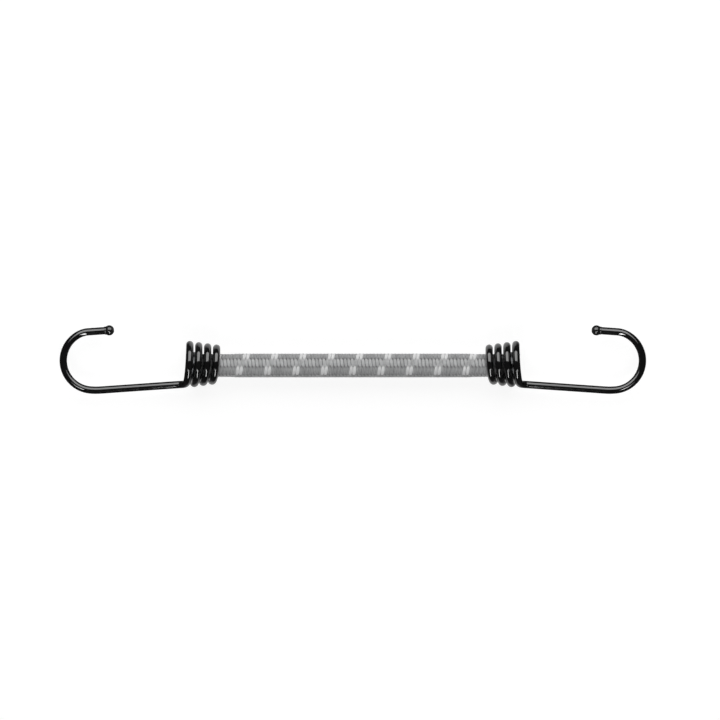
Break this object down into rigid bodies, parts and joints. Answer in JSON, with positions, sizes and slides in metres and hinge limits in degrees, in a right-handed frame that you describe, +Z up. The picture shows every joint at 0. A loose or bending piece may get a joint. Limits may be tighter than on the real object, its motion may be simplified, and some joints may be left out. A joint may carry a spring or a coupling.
{
  "type": "bungee cord",
  "caption": "Short elastic bungee cord in a braided sheath, with a black coated wire hook wound into a coil round each end.",
  "frame": {"origin": "middle of the bounding box's lower face, on the surface that the two coils lie on", "axes": "+X along the cord towards the right hook, +Y in the plane of the hooks on the side of their tips, +Z up from the surface"},
  "size_m": [0.246, 0.0286, 0.0191],
  "materials": {
    "coated_wire": "glossy black plastic coat on steel wire",
    "tip_cap": "glossy black moulded plastic",
    "clip_steel": "plain zinc-coated steel strip",
    "braid": "braided polyester yarn, grey with a pair of near-white tracer yarns",
    "strand_rubber": "natural latex rubber, matt"
  },
  "bodies": {
    "cord_left": {"braided_sheath": "braid"},
    "cord_right": {"rubber_strand_01": "strand_rubber", "rubber_strand_02": "strand_rubber", "rubber_strand_03": "strand_rubber", "rubber_strand_04": "strand_rubber", "rubber_strand_05": "strand_rubber", "rubber_strand_06": "strand_rubber", "rubber_strand_07": "strand_rubber", "rubber_strand_08": "strand_rubber", "rubber_strand_09": "strand_rubber", "rubber_strand_10": "strand_rubber", "rubber_strand_11": "strand_rubber", "rubber_strand_12": "strand_rubber", "rubber_strand_13": "strand_rubber", "rubber_strand_14": "strand_rubber", "rubber_strand_15": "strand_rubber", "rubber_strand_16": "strand_rubber", "rubber_strand_17": "strand_rubber", "rubber_strand_18": "strand_rubber", "rubber_strand_19": "strand_rubber", "rubber_strand_20": "strand_rubber", "rubber_strand_21": "strand_rubber", "rubber_strand_22": "strand_rubber", "rubber_strand_23": "strand_rubber", "rubber_strand_24": "strand_rubber", "rubber_strand_25": "strand_rubber", "rubber_strand_26": "strand_rubber", "rubber_strand_27": "strand_rubber", "rubber_strand_28": "strand_rubber", "rubber_strand_29": "strand_rubber", "rubber_strand_30": "strand_rubber", "rubber_strand_31": "strand_rubber", "rubber_strand_32": "strand_rubber", "rubber_strand_33": "strand_rubber", "rubber_strand_34": "strand_rubber", "rubber_strand_35": "strand_rubber", "rubber_strand_36": "strand_rubber", "rubber_strand_37": "strand_rubber"},
    "left_end": {"left_cord_clip": "clip_steel"},
    "right_end": {"right_cord_clip": "clip_steel"},
    "left_hook": {"left_hook_wire": "coated_wire", "left_tip_cap": "tip_cap"},
    "right_hook": {"right_hook_wire": "coated_wire", "right_tip_cap": "tip_cap"}
  },
  "joints": [
    {"name": "cord_stretch", "type": "slide", "parent": "cord_left", "child": "cord_right", "axis": [1, 0, 0], "range_m": [0, 0.09], "stiffness_N_per_m": 700, "deforming": ["braided_sheath", "rubber_strand_01", "rubber_strand_02", "rubber_strand_03", "rubber_strand_04", "rubber_strand_05", "rubber_strand_06", "rubber_strand_07", "rubber_strand_08", "rubber_strand_09", "rubber_strand_10", "rubber_strand_11", "rubber_strand_12", "rubber_strand_13", "rubber_strand_14", "rubber_strand_15", "rubber_strand_16", "rubber_strand_17", "rubber_strand_18", "rubber_strand_19", "rubber_strand_20", "rubber_strand_21", "rubber_strand_22", "rubber_strand_23", "rubber_strand_24", "rubber_strand_25", "rubber_strand_26", "rubber_strand_27", "rubber_strand_28", "rubber_strand_29", "rubber_strand_30", "rubber_strand_31", "rubber_strand_32", "rubber_strand_33", "rubber_strand_34", "rubber_strand_35", "rubber_strand_36", "rubber_strand_37"]},
    {"name": "left_bend", "type": "hinge", "parent": "cord_left", "child": "left_end", "pos_m": [-0.0468, -0.00257, 0.00918], "axis": [0, 0, 1], "range_deg": [-45, 45], "stiffness_Nm_per_rad": 0.05, "deforming": ["braided_sheath", "rubber_strand_01", "rubber_strand_02", "rubber_strand_03", "rubber_strand_04", "rubber_strand_05", "rubber_strand_06", "rubber_strand_07", "rubber_strand_08", "rubber_strand_09", "rubber_strand_10", "rubber_strand_11", "rubber_strand_12", "rubber_strand_13", "rubber_strand_14", "rubber_strand_15", "rubber_strand_16", "rubber_strand_17", "rubber_strand_18", "rubber_strand_19", "rubber_strand_20", "rubber_strand_21", "rubber_strand_22", "rubber_strand_23", "rubber_strand_24", "rubber_strand_25", "rubber_strand_26", "rubber_strand_27", "rubber_strand_28", "rubber_strand_29", "rubber_strand_30", "rubber_strand_31", "rubber_strand_32", "rubber_strand_33", "rubber_strand_34", "rubber_strand_35", "rubber_strand_36", "rubber_strand_37"]},
    {"name": "left_swivel", "type": "hinge", "parent": "left_end", "child": "left_hook", "pos_m": [-0.063, -0.00257, 0.00918], "axis": [1, 0, 0], "continuous": true},
    {"name": "right_bend", "type": "hinge", "parent": "cord_right", "child": "right_end", "pos_m": [0.0468, -0.00257, 0.00918], "axis": [0, 0, 1], "range_deg": [-45, 45], "stiffness_Nm_per_rad": 0.05, "deforming": ["braided_sheath", "rubber_strand_01", "rubber_strand_02", "rubber_strand_03", "rubber_strand_04", "rubber_strand_05", "rubber_strand_06", "rubber_strand_07", "rubber_strand_08", "rubber_strand_09", "rubber_strand_10", "rubber_strand_11", "rubber_strand_12", "rubber_strand_13", "rubber_strand_14", "rubber_strand_15", "rubber_strand_16", "rubber_strand_17", "rubber_strand_18", "rubber_strand_19", "rubber_strand_20", "rubber_strand_21", "rubber_strand_22", "rubber_strand_23", "rubber_strand_24", "rubber_strand_25", "rubber_strand_26", "rubber_strand_27", "rubber_strand_28", "rubber_strand_29", "rubber_strand_30", "rubber_strand_31", "rubber_strand_32", "rubber_strand_33", "rubber_strand_34", "rubber_strand_35", "rubber_strand_36", "rubber_strand_37"]},
    {"name": "right_swivel", "type": "hinge", "parent": "right_end", "child": "right_hook", "pos_m": [0.063, -0.00257, 0.00918], "axis": [1, 0, 0], "continuous": true}
  ]
}
